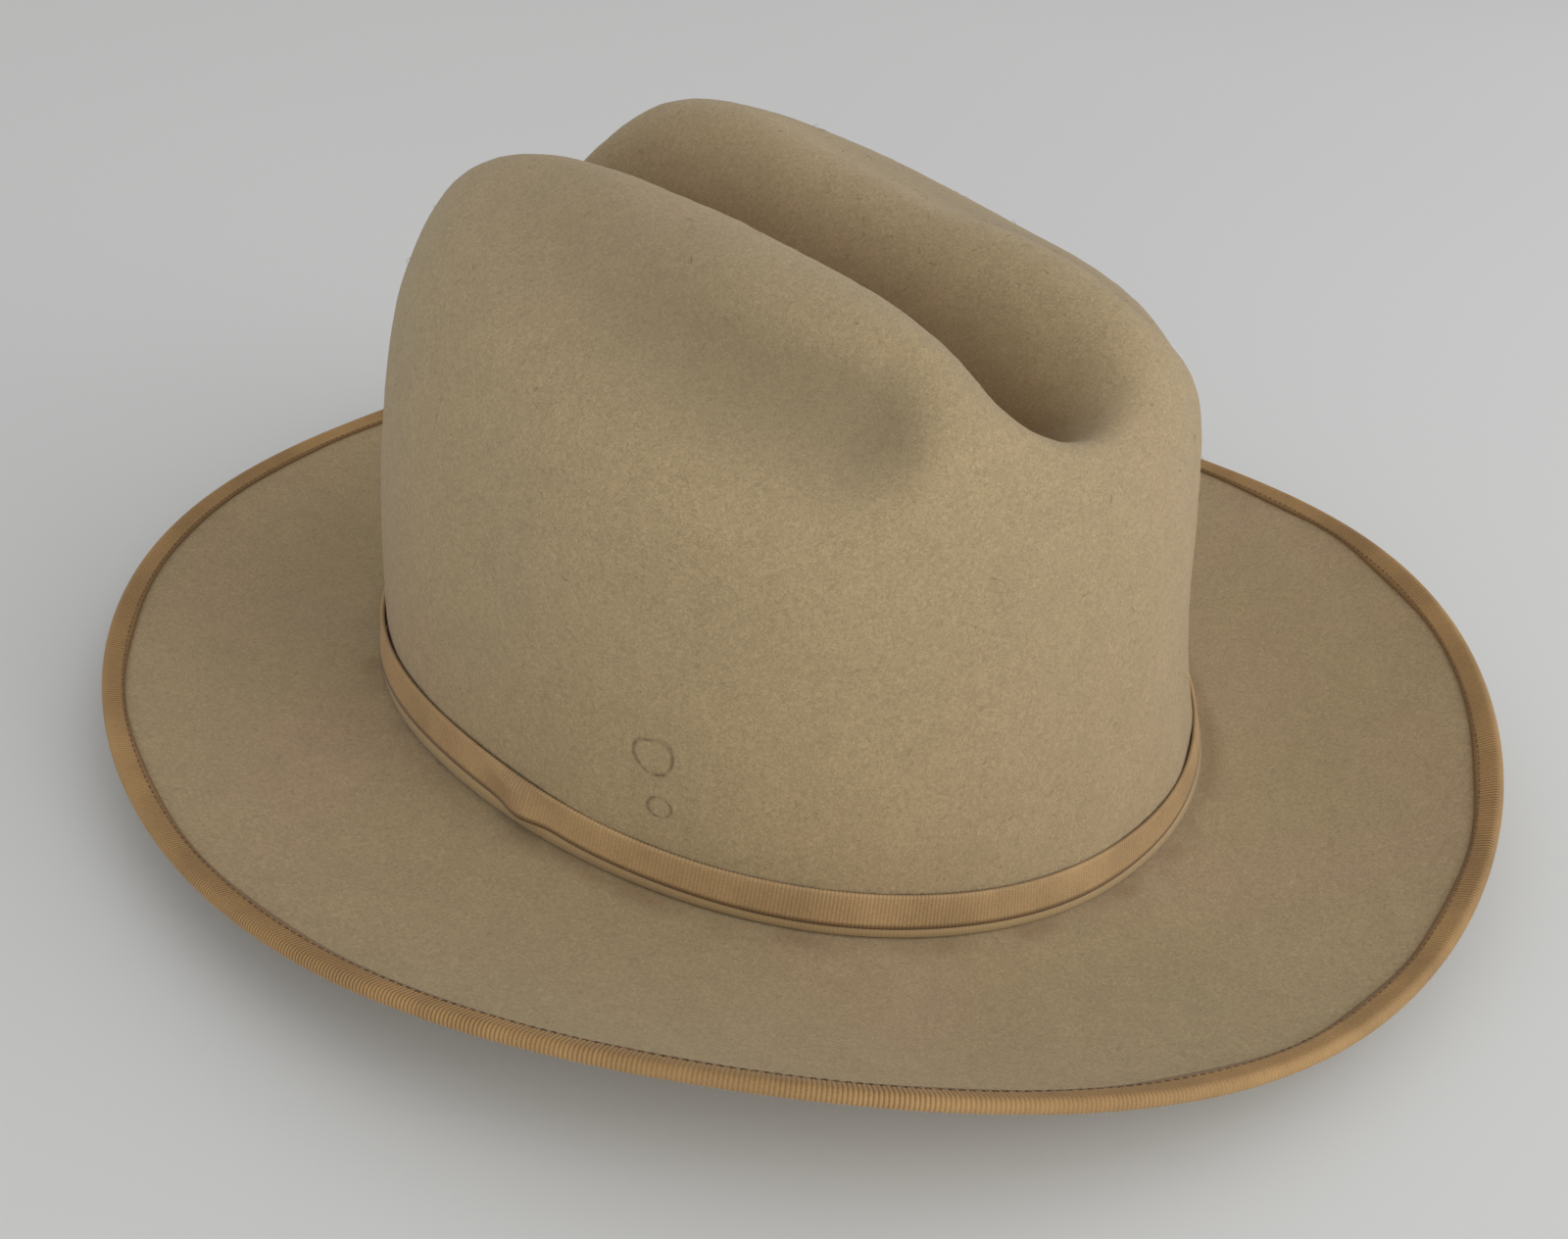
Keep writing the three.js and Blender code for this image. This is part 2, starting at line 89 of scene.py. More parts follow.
ribbon_fold = Sizes(theta=math.radians(84), thin=0.36, outer=GAP + 0.82, inner=GAP + 0.2, below_top=1.5)
binding_thread = Sizes(pitch=1.9, length=1.35, radius=0.15)
sweatband_thread = Sizes(pitch=2.6, length=1.9, radius=0.22)
bow_cloth = Sizes(thickness=0.34, rib_height=0.07, flare=0.35)
rib_pitch = 0.8
back_theta = TURN / 2
cad_steps = 72  # points round the CAD model's brim

# ---- the hat's surfaces


def bell(distance, width):
    """1 at no distance, falling off smoothly on both sides."""
    return np.exp(-((distance / width) ** 2))


def smoothstep(x, low, high):
    t = np.clip((x - low) / (high - low), 0, 1)
    return t * t * (3 - 2 * t)


def turn_from(theta, place):
    """The angle from a place round the hat, half a turn at most on either side."""
    return np.arctan2(np.sin(theta - place), np.cos(theta - place))


def waves(sizes, angle, wave):
    """The sum of one wave round the hat, two waves, and so on, each with its own size."""
    return sum(size * wave((i + 1) * angle) for i, size in enumerate(sizes))


def around_blend(theta, side, front, back):
    """A value that goes from front to side to back round the hat."""
    along = np.cos(theta)
    return side * np.sin(theta) ** 2 + np.where(along > 0, front, back) * along**2


def base_oval(theta):
    across, along = np.sin(theta), np.cos(theta)
    n = crown.squareness
    scale = (np.abs(across) ** n + np.abs(along) ** n) ** (-1 / n)
    return -crown.half_width * across * scale, -crown.half_length * along * scale


def oval_outward(theta):
    """The level direction square to the oval."""
    step = 1e-4
    (x0, y0), (x1, y1) = base_oval(theta - step), base_oval(theta + step)
    length = np.hypot(x1 - x0, y1 - y0)
    return -(y1 - y0) / length, (x1 - x0) / length


def break_height(theta):
    return -crown.break_rise * np.cos(2 * theta)


def top_height(x, y):
    end = y / 100
    slope = (crown.tilt + crown.twist * end) * x / 100 + crown.rise * end
    return crown.height + slope + crown.dish * end**2 + crown.sweep * end**3


def open_crown(theta, inward, upward):
    """The crown before its crease and dents are pressed in."""
    oval_x, oval_y = base_oval(theta)
    taper = around_blend(theta, crown.taper_side, crown.taper_front, crown.taper_back)
    front_left = np.maximum(-np.sin(theta), 0) * np.maximum(np.cos(theta), 0)
    bulge = crown.bulge_front_left * (2 * front_left) ** 2
    bulge = bulge + around_blend(theta, crown.bulge_side, crown.bulge_front, crown.bulge_back)
    swell = bulge / np.hypot(oval_x, oval_y) * 4 * upward * (1 - upward)
    scale = inward * (1 - taper * upward + swell)
    x = oval_x * scale
    y = oval_y * scale + crown.lean * upward
    z = break_height(theta) * (1 - upward) + top_height(x, y) * upward
    return x, y, z


def crease_share(x, y):
    """How much of the centre crease's depth is reached at a place on the top, 0 to 1."""
    starts = smoothstep(y, crease.front - crease.front_blend, crease.front + crease.front_blend)
    ends = 1 - smoothstep(y, crease.back - crease.back_blend, crease.back + crease.back_blend)
    return starts * ends * bell(x - crease.offset, crease.half_width)


def press_top(x, y, z, upward):
    """The height left once the crease and the slump of the wearer's left ridge are pressed in."""
    groove = crease.depth * crease_share(x, y)
    sag = slump.depth * smoothstep(x, 0, slump.full) * bell(y - slump.y, slump.reach)
    return z - (groove + sag) * smoothstep(upward, crease.top_from, crease.top_to)


def dent_share(x, y, z):
    """How much of the side dents' depth is reached: they start short and fade to the back."""
    starts = smoothstep(y, dent.front - dent.front_blend, dent.front + dent.front_blend)
    fades = bell(np.maximum(y - dent.front - dent.front_blend, 0), dent.to_back)
    dz = z - dent.z - dent.slope * (y - dent.front)
    upright = bell(dz, np.where(dz > 0, dent.above, dent.below))
    off_centre = smoothstep(np.abs(x), dent.inner, dent.outer)
    return starts * fades * upright * off_centre


def crown_point(theta, climb):
    """The outer face of the crown. climb is 0 at the break and 1 at the middle of the top."""
    inward, upward = np.cos(climb * TURN / 4), np.sin(climb * TURN / 4)
    n = crown.corner
    reach = (np.abs(inward) ** n + np.abs(upward) ** n) ** (-1 / n)
    x, y, z = open_crown(theta, inward * reach, upward * reach)
    z = press_top(x, y, z, upward * reach)
    return np.stack([x - np.sign(x) * dent.depth * dent_share(x, y, z), y, z], axis=-1)


def brim_point(theta, across):
    """The top face of the brim. across is 0 at the break and 1 at the edge."""
    x, y = base_oval(theta)
    out_x, out_y = oval_outward(theta)
    low = break_height(theta)
    edge = brim.edge_height + waves(brim.edge_waves, theta, np.cos)
    edge = edge + waves(brim.edge_side_waves, theta, np.sin)
    flat_width = brim.width + waves(brim.width_waves, theta, np.cos)
    flat_width = flat_width + brim.width_side_wave * np.sin(theta)
    lift = edge - low
    width = flat_width - brim.shortening * lift**2 / flat_width
    z = low + lift * np.abs(across) ** brim.curl
    return np.stack([x + out_x * width * across, y + out_y * width * across, z], axis=-1)


def unit(vectors):
    return vectors / np.maximum(np.linalg.norm(vectors, axis=-1, keepdims=True), 1e-12)


def surface_normal(surface, theta, row):
    step = 1e-3
    around = surface(theta + step, row) - surface(theta - step, row)
    along = surface(theta, row + step) - surface(theta, row - step)
    return unit(np.cross(along, around))


def off_crown(theta, climb, height):
    height = np.asarray(height)[..., None]
    return crown_point(theta, climb) + surface_normal(crown_point, theta, climb) * height


def off_brim(theta, across, height):
    height = np.asarray(height)[..., None]
    return brim_point(theta, across) - surface_normal(brim_point, theta, across) * height


def wall_point(theta, height, outwards):
    """A point near the lower crown wall, by its height over the break and its distance out."""
    theta, height, outwards = np.broadcast_arrays(theta, height, outwards)
    upward = np.maximum(height, 0) / (crown.height - break_height(theta))
    point = crown_point(theta, np.arctan(upward) * 4 / TURN)
    out_x, out_y = oval_outward(theta)
    point[..., 0] += out_x * outwards
    point[..., 1] += out_y * outwards
    point[..., 2] += np.minimum(height, 0)
    return point


def edge_point(theta, out, up):
    """A point by the brim's edge, by its distance out from the edge and up from the top face."""
    return off_brim(theta, 1 + out / brim.width, up)


def round_angles(count):
    return np.arange(count) * TURN / count


def ripple(theta, seed, lowest, highest):
    """A smooth wavy number round the hat, about -1 to 1, made of the whole waves lowest to highest."""
    chance = np.random.default_rng(seed)
    turns = np.arange(lowest, highest + 1)
    phases = chance.uniform(0, TURN, len(turns))
    sizes = chance.normal(0, 1, len(turns)) / np.sqrt(len(turns))
    return sum(size * np.cos(turn * theta + phase) for turn, phase, size in zip(turns, phases, sizes))


# ---- meshes


def add_object(name, data):
    item = bpy.data.objects.new(name, data)
    bpy.context.scene.collection.objects.link(item)
    return item


def make_mesh(name, points, faces, cloth=None, merge=False):
    """An object from row-frame points in metres. cloth holds one (u, v) for each corner of each face."""
    mesh = bpy.data.meshes.new(name)
    mesh.from_pydata(points.reshape(-1, 3).tolist(), [], faces.tolist())
    if cloth is not None:
        layer = mesh.uv_layers.new(name="cloth")
        layer.data.foreach_set("uv", cloth.astype(np.float32).ravel())
    if merge:
        work = bmesh.new()
        work.from_mesh(mesh)
        bmesh.ops.remove_doubles(work, verts=work.verts, dist=1e-7)
        bmesh.ops.recalc_face_normals(work, faces=work.faces)
        work.to_mesh(mesh)
        work.free()
    mesh.update()
    mesh.polygons.foreach_set("use_smooth", np.ones(len(mesh.polygons), dtype=bool))
    return add_object(name, mesh)


def grid_faces(rows, columns, wraps_rows, wraps_columns):
    """Quads over a grid of points, and the (row, column) place of each quad's corners."""
    i, j = np.meshgrid(
        np.arange(rows if wraps_rows else rows - 1),
        np.arange(columns if wraps_columns else columns - 1),
        indexing="ij",
    )
    corner_i = np.stack([i, i + 1, i + 1, i], axis=-1).reshape(-1, 4)
    corner_j = np.stack([j, j, j + 1, j + 1], axis=-1).reshape(-1, 4)
    faces = (corner_i % rows) * columns + corner_j % columns
    return faces, corner_i, corner_j


def grid_normals(face, closed):
    """Unit normals of a grid of points [stop, row]."""
    along = np.roll(face, -1, 0) - np.roll(face, 1, 0)
    if not closed:
        along[0], along[-1] = face[1] - face[0], face[-1] - face[-2]
    return unit(np.cross(np.gradient(face, axis=1), along))


def strip(name, face, thickness, closed=True, ribs=0, rib_height=0.0, flare=0.0):
    """A thin solid of a given thickness round a middle surface of points [stop, row], in mm.

    ribs is how many grosgrain ribs run across it, from its first stop to its last; flare makes its
    two long edges thicker, as a woven edge is. The cloth coordinates are the rib's number and 0 to 1
    over the outer face, then 1 to 2 back over the inner face.
    """
    stops, rows = face.shape[:2]
    normals = grid_normals(face, closed)
    stretch = np.arange(stops + 1) / (stops if closed else stops - 1)
    rib = np.cos(stretch[:stops] * ribs * TURN)[:, None] * rib_height if ribs else 0
    edge = np.linspace(-1, 1, rows)[None, :] ** 8
    half = thickness / 2 * (1 + flare * edge) + rib * (1 - 0.6 * edge)
    section = np.concatenate(
        [face + normals * half[..., None], (face - normals * half[..., None])[:, ::-1]], axis=1
    )
    faces, corner_i, corner_j = grid_faces(stops, 2 * rows, closed, True)
    over = np.linspace(0, 1, rows)
    across = np.concatenate([over, 1 + over, [2]])
    cloth = np.stack([stretch[corner_i] * max(ribs, 1), across[corner_j]], axis=-1)
    if not closed:
        ends, end_cloth = end_caps(stops, rows)
        faces = np.concatenate([faces, ends])
        cloth = np.concatenate([cloth, end_cloth])
    return make_mesh(name, to_row(section), faces, cloth)


def end_caps(stops, rows):
    """Quads that close the two ends of an open strip."""
    j = np.arange(rows - 1)
    other = 2 * rows - 1
    first = np.stack([j, j + 1, other - j - 1, other - j], axis=-1)
    last = first[:, ::-1] + (stops - 1) * 2 * rows
    return np.concatenate([first, last]), np.zeros((2 * (rows - 1), 4, 2))


def ring_strip(name, stops, path, thickness, **cloth):
    """A strip round the hat. path(theta) gives its middle surface, rows last."""
    return strip(name, path(round_angles(stops)[:, None]), thickness, **cloth)


def tube(name, centre, radius, sides, pattern=None):
    """A closed cord along centre points. pattern(stop, angle) adds to its radius."""
    stops = len(centre)
    along = unit(np.roll(centre, -1, 0) - np.roll(centre, 1, 0))
    first = unit(np.cross(along, [0, 0, 1]))
    second = np.cross(along, first)
    angle = round_angles(sides)
    radii = radius * np.ones((stops, sides))
    if pattern is not None:
        radii = radii + pattern(np.arange(stops)[:, None], angle[None, :])
    ring = first[:, None] * np.cos(angle)[None, :, None] + second[:, None] * np.sin(angle)[None, :, None]
    points = centre[:, None] + ring * radii[..., None]
    faces, corner_i, corner_j = grid_faces(stops, sides, True, True)
    cloth = np.stack([corner_i / 4, corner_j / sides], axis=-1)
    return make_mesh(name, to_row(points), faces, cloth)


def stitches(name, centres, along, up, length, radius, sag=0.3):
    """A row of separate stitches, each a capsule that dips into the cloth at both ends."""
    rows, sides = 7, 6
    run = np.linspace(-1, 1, rows)
    swell = np.sqrt(np.maximum(1 - run**4, 0.02))
    dip = -sag * run**2 * radius * 2
    angle = round_angles(sides)
    side = np.cross(along, up)
    sideways, upwards = (wave(angle)[None, None, :, None] for wave in (np.cos, np.sin))
    ring = side[:, None, None] * sideways + up[:, None, None] * upwards
    offsets = along[:, None] * (run * length / 2)[None, :, None]
    spine = centres[:, None] + offsets + up[:, None] * dip[None, :, None]
    points = spine[:, :, None] + ring * (radius * swell)[None, :, None, None]
    faces = grid_faces(rows, sides, False, True)[0]
    caps = np.stack([np.arange(sides), (rows - 1) * sides + np.arange(sides)[::-1]])
    count = rows * sides
    every = [(faces + i * count) for i in range(len(centres))]
    mesh_faces = np.concatenate(every).tolist()
    mesh_faces += [(cap + i * count).tolist() for i in range(len(centres)) for cap in caps]
    return make_mesh(name, to_row(points), np.array(mesh_faces, dtype=object))


# ---- materials


def srgb(red, green, blue):
    """An 0-255 screen colour as scene-linear light."""

    def linear(value):
        value /= 255
        return value / 12.92 if value <= 0.04045 else ((value + 0.055) / 1.055) ** 2.4

    return linear(red), linear(green), linear(blue)


FELT_GREENISH = srgb(162, 145, 112)
FELT_PINKISH = srgb(170, 146, 117)
FELT_YELLOWISH = srgb(166, 147, 113)
# painted shade in the side dents
FELT_SHADE = srgb(118, 106, 82)
STAIN_BROWN = srgb(96, 80, 58)
# painted shade on the brim beside the ribbon and in the centre crease
SHADE_BROWN = srgb(122, 92, 58)
LEATHER_BROWN = srgb(112, 72, 42)
LEATHER_WORN = srgb(84, 52, 30)
LEATHER_DARK = srgb(52, 32, 20)
SATIN_IVORY = srgb(204, 192, 158)
SATIN_SHADE = srgb(184, 168, 130)
CLEAR_YELLOWED = (0.86, 0.87, 0.84)
CLEAR_FRESH = (0.93, 0.94, 0.92)


class Look:
    """A Principled material in the making: each method adds one node and returns its output."""

    def __init__(self, name, roughness, **constants):
        self.material = bpy.data.materials.new(name)
        self.material.use_nodes = True
        self.tree = self.material.node_tree
        self.shader = self.tree.nodes["Principled BSDF"]
        self.shader.inputs["Roughness"].default_value = roughness
        for key, value in constants.items():
            self.shader.inputs[key.replace("_", " ")].default_value = value
        self.place = self.node("ShaderNodeTexCoord").outputs["Object"]

    def node(self, kind, inputs=(), **settings):
        node = self.tree.nodes.new(kind)
        for key, value in settings.items():
            setattr(node, key, value)
        for key, value in dict(inputs).items():
            if isinstance(value, bpy.types.NodeSocket):
                self.tree.links.new(value, node.inputs[key])
            else:
                node.inputs[key].default_value = value
        return node

    def noise(self, scale, detail=2.0, rough=0.5, place=None, distortion=0.0):
        """Smooth noise, 0 to 1. scale is its cells per metre, or per rib on cloth coordinates."""
        inputs = {
            "Vector": place or self.place, "Scale": scale, "Detail": detail, "Roughness": rough,
            "Distortion": distortion,
        }
        return self.node("ShaderNodeTexNoise", inputs).outputs["Fac"]

    def cells(self, scale):
        inputs = {"Vector": self.place, "Scale": scale}
        return self.node("ShaderNodeTexVoronoi", inputs).outputs["Distance"]

    def attribute(self, name):
        return self.node("ShaderNodeAttribute", attribute_name=name).outputs["Fac"]

    def math(self, operation, a, b=0.0, c=0.0):
        return self.node("ShaderNodeMath", {0: a, 1: b, 2: c}, operation=operation).outputs[0]

    def spread(self, value, low, high, to_low=0.0, to_high=1.0):
        """value's range from low to high becomes to_low to to_high, and no further."""
        inputs = {0: value, 1: low, 2: high, 3: to_low, 4: to_high}
        return self.node("ShaderNodeMapRange", inputs, interpolation_type="SMOOTHSTEP").outputs[0]

    def blend(self, share, first, second, mode="MIX"):
        node = self.node("ShaderNodeMix", data_type="RGBA", blend_type=mode)
        for socket, value in ((node.inputs[0], share), (node.inputs[6], first), (node.inputs[7], second)):
            if isinstance(value, bpy.types.NodeSocket):
                self.tree.links.new(value, socket)
            elif socket.type == "RGBA":
                socket.default_value = (*value, 1.0)
            else:
                socket.default_value = value
        return node.outputs[2]

    def shade(self, tone, value):
        """The tone made darker or lighter by a plain number."""
        grey = self.node("ShaderNodeCombineXYZ", {0: value, 1: value, 2: value}).outputs[0]
        return self.blend(1.0, tone, grey, "MULTIPLY")

    def cloth(self):
        """The cloth coordinates: rib number, and place across the ribbon."""
        uv = self.node("ShaderNodeUVMap", uv_map="cloth").outputs["UV"]
        parts = self.node("ShaderNodeSeparateXYZ", {"Vector": uv})
        return uv, parts.outputs["X"], parts.outputs["Y"]

    def squeezed(self, x, y, z, place=None):
        """The place with each axis scaled, for grain that runs one way."""
        inputs = {"Vector": place or self.place, "Scale": (x, y, z)}
        return self.node("ShaderNodeMapping", inputs).outputs["Vector"]

    def near(self, spot):
        """The distance from a spot given in metres."""
        inputs = {0: self.place, 1: spot}
        return self.node("ShaderNodeVectorMath", inputs, operation="DISTANCE").outputs["Value"]

    def colour(self, value):
        self.tree.links.new(value, self.shader.inputs["Base Color"])

    def roughness(self, value):
        self.tree.links.new(value, self.shader.inputs["Roughness"])

    def bump(self, height, distance, strength=1.0, under=None):
        inputs = {"Height": height, "Distance": distance, "Strength": strength}
        if under is not None:
            inputs["Normal"] = under
        normal = self.node("ShaderNodeBump", inputs).outputs["Normal"]
        self.tree.links.new(normal, self.shader.inputs["Normal"])
        return normal


def stain_ring(look, spot, radius, line):
    """How strong a dried drop's dark rim is: 1 on its wavy outline and 0 away from it."""
    wobble = look.math("MULTIPLY_ADD", look.noise(130, 1.0), radius * 1.1, -radius * 0.55)
    distance = look.math("ADD", look.near(spot), wobble)
    off_line = look.math("ABSOLUTE", look.math("SUBTRACT", distance, radius))
    broken = look.spread(look.noise(500, 2.0), 0.35, 0.6, 0.35, 1.0)
    return look.math("MULTIPLY", look.spread(off_line, 0.0, line, 1.0, 0.0), broken)


def felt_look():
    """Patchy tan felt with a fine grain, dried drops and dark specks, with painted shade beside the
    ribbon, in the crease and in the dents.
    """
    look = Look("fur_felt", 0.92, Sheen_Weight=0.12, Sheen_Roughness=0.55, Specular_IOR_Level=0.2)
    wide = look.spread(look.noise(9, 3.0, 0.5), 0.3, 0.7)
    tone = look.blend(wide, FELT_GREENISH, FELT_PINKISH)
    patchy = look.spread(look.noise(24, 3.0, 0.5), 0.25, 0.75)
    tone = look.blend(patchy, tone, FELT_YELLOWISH)
    cloudy = look.spread(look.noise(150, 4.0, 0.65), 0.25, 0.75, 0.965, 1.035)
    grain = look.spread(look.noise(1300, 3.0, 0.7, distortion=1.5), 0.3, 0.7, 0.8, 1.2)
    tone = look.shade(tone, look.math("MULTIPLY", cloudy, grain))
    for spot, radius, line, depth in felt_stains():
        ring = stain_ring(look, spot, radius, line)
        tone = look.blend(look.math("MULTIPLY", ring, depth), tone, STAIN_BROWN)
    specks = look.spread(look.cells(230), 0.0, 0.09, 0.75, 0.0)
    rare = look.spread(look.noise(95, 1.0), 0.6, 0.66)
    tone = look.blend(look.math("MULTIPLY", specks, rare), tone, STAIN_BROWN)
    # painted shade on the brim beside the ribbon, broken into patches, and in the centre crease
    ribbon_shade = look.math("MULTIPLY", look.attribute("ribbon_shade"), look.spread(look.noise(70, 3.0), 0.35, 0.65))
    tone = look.blend(look.math("MAXIMUM", ribbon_shade, look.attribute("crease_shade")), tone, SHADE_BROWN)
    # painted shade in the side dents
    tone = look.blend(look.attribute("dent_shade"), tone, FELT_SHADE)
    look.colour(tone)
    soft = look.bump(look.noise(420, 4.0, 0.6), 0.00025, 0.5)
    fibres = look.noise(2600, 2.0, 0.6, look.squeezed(1, 0.35, 1), distortion=2.0)
    look.bump(fibres, 0.0002, 0.5, under=soft)
    return look.material


def grosgrain_look(name, base, groove, edge, step=None):
    """Ribbed ribbon: painted shade between the ribs, fainter in some patches, a woven edge, and an uneven
    tone.

    step is the tone of the back of a folded ribbon's inner leaf, where it shows below the outer one.
    """
    look = Look(name, 0.62, Sheen_Weight=0.15, Sheen_Roughness=0.4, Specular_IOR_Level=0.3)
    uv, rib, across = look.cloth()
    wave = look.math("COSINE", look.math("MULTIPLY", rib, TURN))
    # painted shade between the ribs, fainter in some patches
    depth = look.spread(wave, -1.0, 0.2, 0.75, 0.0)
    uneven_share = look.spread(look.noise(16, 3.0), 0.35, 0.65, 0.15, 1.0)
    tone = look.blend(look.math("MULTIPLY", depth, uneven_share), base, groove)
    cloudy = look.spread(look.noise(45, 4.0, 0.6), 0.3, 0.7, 0.84, 1.12)
    thread = look.spread(look.noise(2.2, 2.0, 0.7, look.squeezed(0.35, 26, 1, uv)), 0.3, 0.7, 0.88, 1.1)
    tone = look.shade(tone, look.math("MULTIPLY", cloudy, thread))
    middle = look.math("ABSOLUTE", look.math("SUBTRACT", look.math("FRACT", across), 0.5))
    selvage = look.spread(middle, 0.43, 0.5, 0.0, 0.85)
    tone = look.blend(selvage, tone, edge)
    if step is not None:
        on_back = look.math("GREATER_THAN", across, 0.985)
        near_end = look.spread(across, 1.1, 1.22, 0.9, 0.0)
        tone = look.blend(look.math("MULTIPLY", on_back, near_end), tone, step)
    look.colour(tone)
    look.bump(look.noise(2.0, 2.0, 0.6, look.squeezed(0.6, 40, 1, uv)), 0.00012, 0.4)
    return look.material


def leather_look():
    """Worn brown leather with pores and fine creases."""
    look = Look("sweatband_leather", 0.42, Specular_IOR_Level=0.45, Coat_Weight=0.08, Coat_Roughness=0.3)
    uneven_share = look.spread(look.noise(18, 4.0, 0.6), 0.35, 0.65)
    tone = look.blend(uneven_share, LEATHER_BROWN, LEATHER_WORN)
    pores = look.cells(1100)
    tone = look.blend(look.spread(pores, 0.0, 0.35, 0.45, 0.0), tone, LEATHER_DARK)
    look.colour(tone)
    look.roughness(look.spread(look.noise(35, 3.0), 0.3, 0.7, 0.34, 0.55))
    creased = look.bump(look.noise(240, 5.0, 0.65), 0.00035, 0.45)
    look.bump(pores, 0.00015, 0.5, under=creased)
    return look.material


def satin_look():
    """Ivory satin whose yarns run upwards."""
    look = Look("satin", 0.34, Sheen_Weight=0.35, Sheen_Roughness=0.25, Anisotropic=0.4)
    tone = look.blend(look.spread(look.noise(22, 3.0), 0.35, 0.65), SATIN_IVORY, SATIN_SHADE)
    yarn = look.spread(look.noise(1500, 1.0, 0.5, look.squeezed(1, 1, 0.08)), 0.3, 0.7, 0.9, 1.05)
    look.colour(look.shade(tone, yarn))
    look.bump(look.noise(900, 2.0, 0.5, look.squeezed(1, 1, 0.15)), 0.00008, 0.5)
    return look.material


def fibre_look(name, base, dark, scale, roughness=0.8):
    """Thread, cloth tape, paper or cord: a base tone with short fibres in it."""
    look = Look(name, roughness, Sheen_Weight=0.1, Sheen_Roughness=0.5)
    fibres = look.spread(look.noise(scale, 3.0, 0.65), 0.3, 0.7)
    look.colour(look.blend(fibres, dark, base))
    look.bump(look.noise(scale * 1.7, 2.0), 0.0001, 0.5)
    return look.material


def clear_look():
    look = Look("clear_sheet", 0.08, IOR=1.46, Alpha=0.22)
    cloudy = look.spread(look.noise(30, 2.0), 0.3, 0.7)
    look.colour(look.blend(cloudy, CLEAR_YELLOWED, CLEAR_FRESH))
    look.bump(look.noise(16, 2.0), 0.0006, 0.3)
    return look.material


def dress(piece, material, slot, *nodes):
    """Gives a piece its material, puts it on the hat and hides the CAD nodes it stands for."""
    piece.data.materials.append(material)
    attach(piece, "root")
    if nodes:
        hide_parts(*nodes)
    return piece


# ---- felt body


def cad_shift():
    """What takes the crown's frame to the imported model's, found from the felt's corners in both."""
    low, high = (np.array(corner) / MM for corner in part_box("felt_body"))
    edge = np.concatenate(
        [off_brim(round_angles(cad_steps), 1.0, height) for height in (0, -felt_thickness)]
    )
    middle = (edge.min(0) + edge.max(0)) / 2
    lowest = -crown.break_rise - felt_thickness
    return np.array([*((low + high) / 2 - middle)[:2], low[2] - lowest])


shift = cad_shift()


def to_row(points):
    """Crown-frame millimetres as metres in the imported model's frame."""
    return (np.asarray(points) + shift) * MM


def unevenness(points, seed, wavelength, count=24):
    """A smooth random height over space, about -1 to 1, for points in mm."""
    chance = np.random.default_rng(seed)
    directions = unit(chance.normal(size=(count, 3)))
    lengths = wavelength * chance.uniform(0.6, 1.6, count)
    phases = chance.uniform(0, TURN, count)
    total = np.zeros(points.shape[:-1])
    for direction, length, phase in zip(directions, lengths, phases):
        total += np.cos(points @ direction * TURN / length + phase)
    return total / math.sqrt(count)


def roughen(points, normals):
    """Felt is never quite even: broad hollows 0.22 mm deep, and fine ones of 0.05 mm."""
    height = 0.22 * unevenness(points, seed=3, wavelength=34)
    height += 0.05 * unevenness(points, seed=4, wavelength=6)
    return points + normals * height[..., None]


def felt_body():
    """Crown and brim in one: down the outside, round the edge, and back up inside.

    The rows of points crowd together at the break and at the edge, where the felt turns most.
    """
    theta = round_angles(480)[:, None]
    crown_rows = np.concatenate([1 - np.linspace(0, 1, 84)[:-1] ** 1.05, [0.006, 0.002]])
    inner_rows = np.concatenate([[0.002, 0.012], np.linspace(0.03, 1, 40)])
    brim_rows = np.concatenate([[0.008, 0.03], np.linspace(0.06, 0.98, 32)])
    under_rows = np.concatenate([np.linspace(0.98, 0.06, 20), [0.03, 0.012]])

    def crown_face(climbs, depth):
        points = off_crown(theta, np.minimum(climbs, 0.999), -depth * np.ones_like(theta * climbs))
        normals = surface_normal(crown_point, theta, np.minimum(climbs, 0.999))
        points = roughen(points, normals * np.where(climbs < 0.999, 1, 0)[None, :, None])
        top = climbs >= 1
        points[:, top] = crown_point(theta, 1.0) - np.array([0, 0, depth])
        return points

    def brim_face(across, depth):
        points = off_brim(theta, across, -depth * np.ones_like(theta * across))
        normals = -surface_normal(brim_point, theta, across * np.ones_like(theta))
        inside = (smoothstep(across, 0, 0.1) * (1 - smoothstep(across, 0.85, 0.95)))[None, :, None]
        return roughen(points, normals * inside)

    half = felt_thickness / 2
    turn = np.linspace(0, TURN / 2, 7)
    edge = off_brim(theta, 1 - (half - half * np.sin(turn)) / brim.width, half * (np.cos(turn) - 1))
    outside = [crown_face(crown_rows, 0), brim_face(brim_rows, 0)]
    inside = [brim_face(under_rows, felt_thickness), crown_face(inner_rows, felt_thickness)]
    points = np.concatenate([*outside, edge, *inside], axis=1)
    faces = grid_faces(len(theta), points.shape[1], True, False)[0]
    piece = make_mesh("felt_body_fine", to_row(points), faces, merge=True)
    painted_shade_attributes(piece)
    return dress(piece, felt_look(), "felt", "felt_body")


